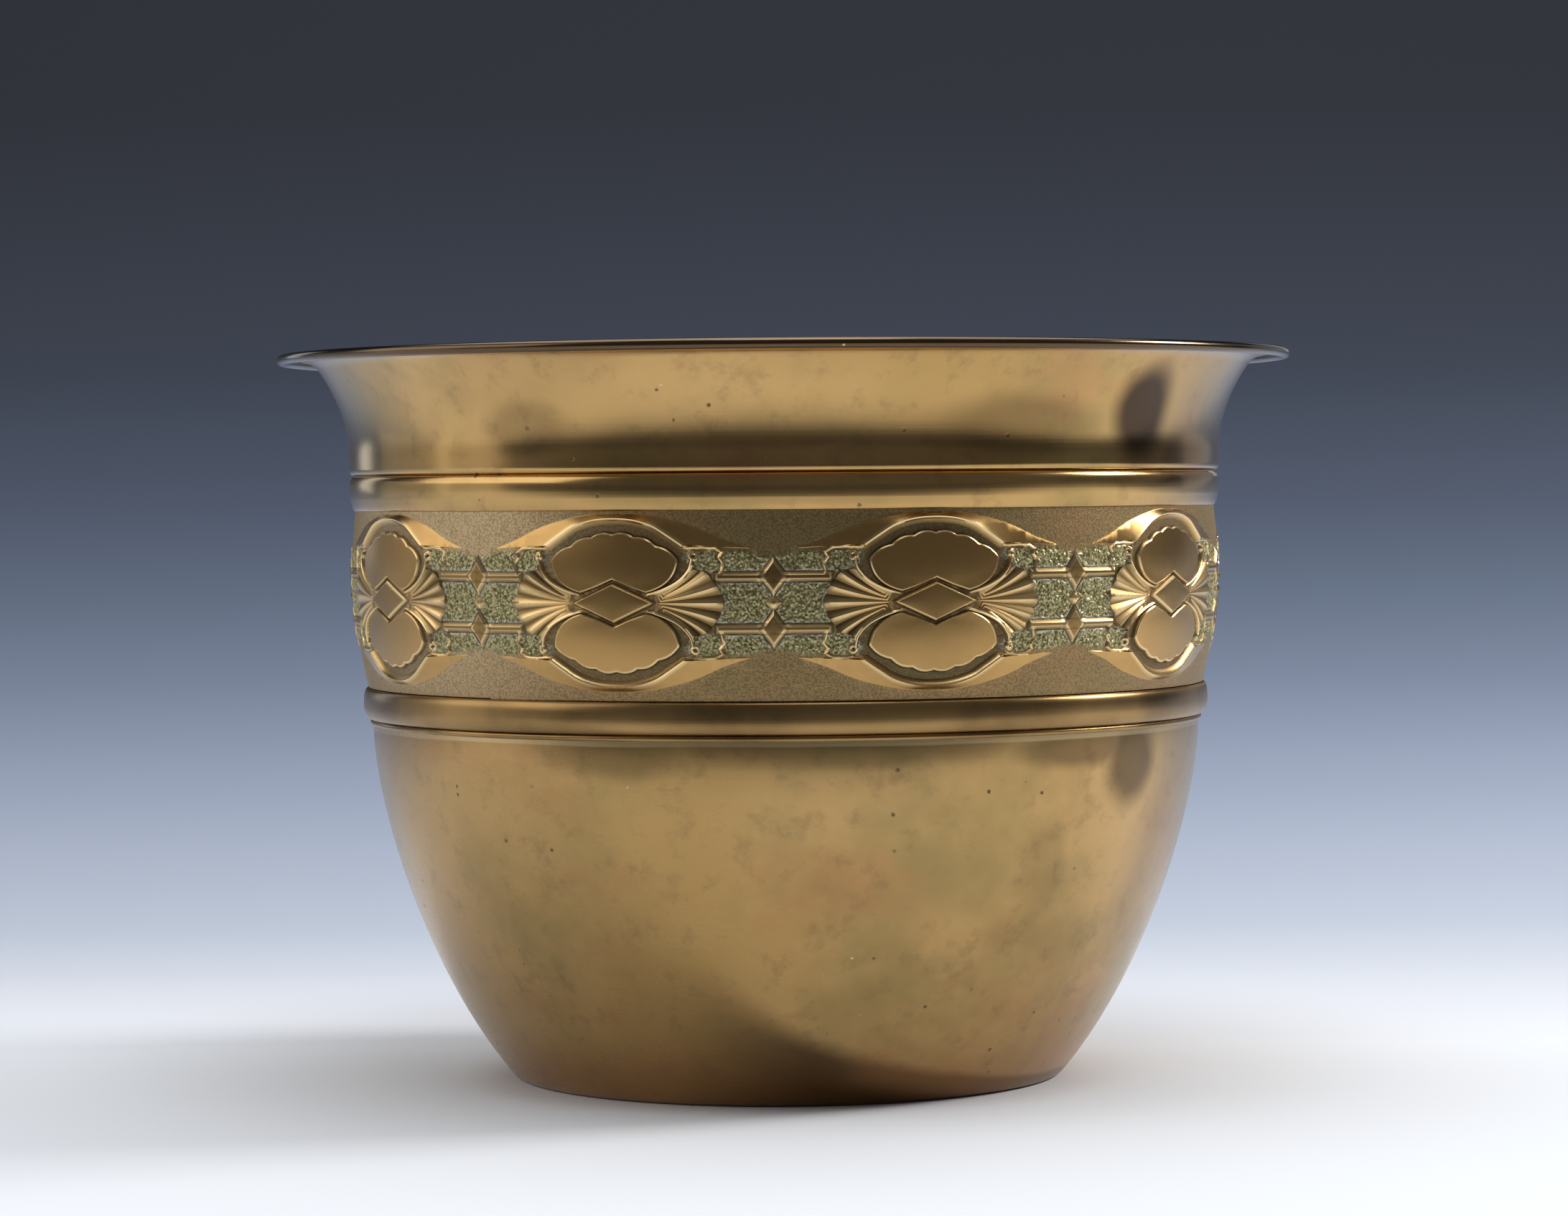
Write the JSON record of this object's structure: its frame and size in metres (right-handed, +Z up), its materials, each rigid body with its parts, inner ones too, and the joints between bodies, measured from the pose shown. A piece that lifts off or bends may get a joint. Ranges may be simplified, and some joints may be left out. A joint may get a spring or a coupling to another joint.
{
  "type": "jardiniere",
  "caption": "Round open planter of soldered sheet brass: a deep flat-bottomed bowl, a stamped ornamental band, and a flared neck with a wide rolled lip.",
  "frame": {"origin": "middle of the flat bottom", "axes": "+Z up along the axis of the vessel, -Y towards the side that the picture shows"},
  "size_m": [0.28, 0.2801, 0.2],
  "materials": {
    "plain_brass": "spun sheet, aged to a satin golden brown",
    "dark_brass": "drawn moulding and wire, aged darker",
    "stamped_brass": "stamped relief, polished on top, dull and greenish in the stippled ground"
  },
  "bodies": {
    "root": {"bowl": "plain_brass", "lower_moulding": "dark_brass", "frieze_band": "stamped_brass", "seam_strap": "stamped_brass", "neck": "plain_brass", "rim_wire": "dark_brass"}
  },
  "joints": []
}
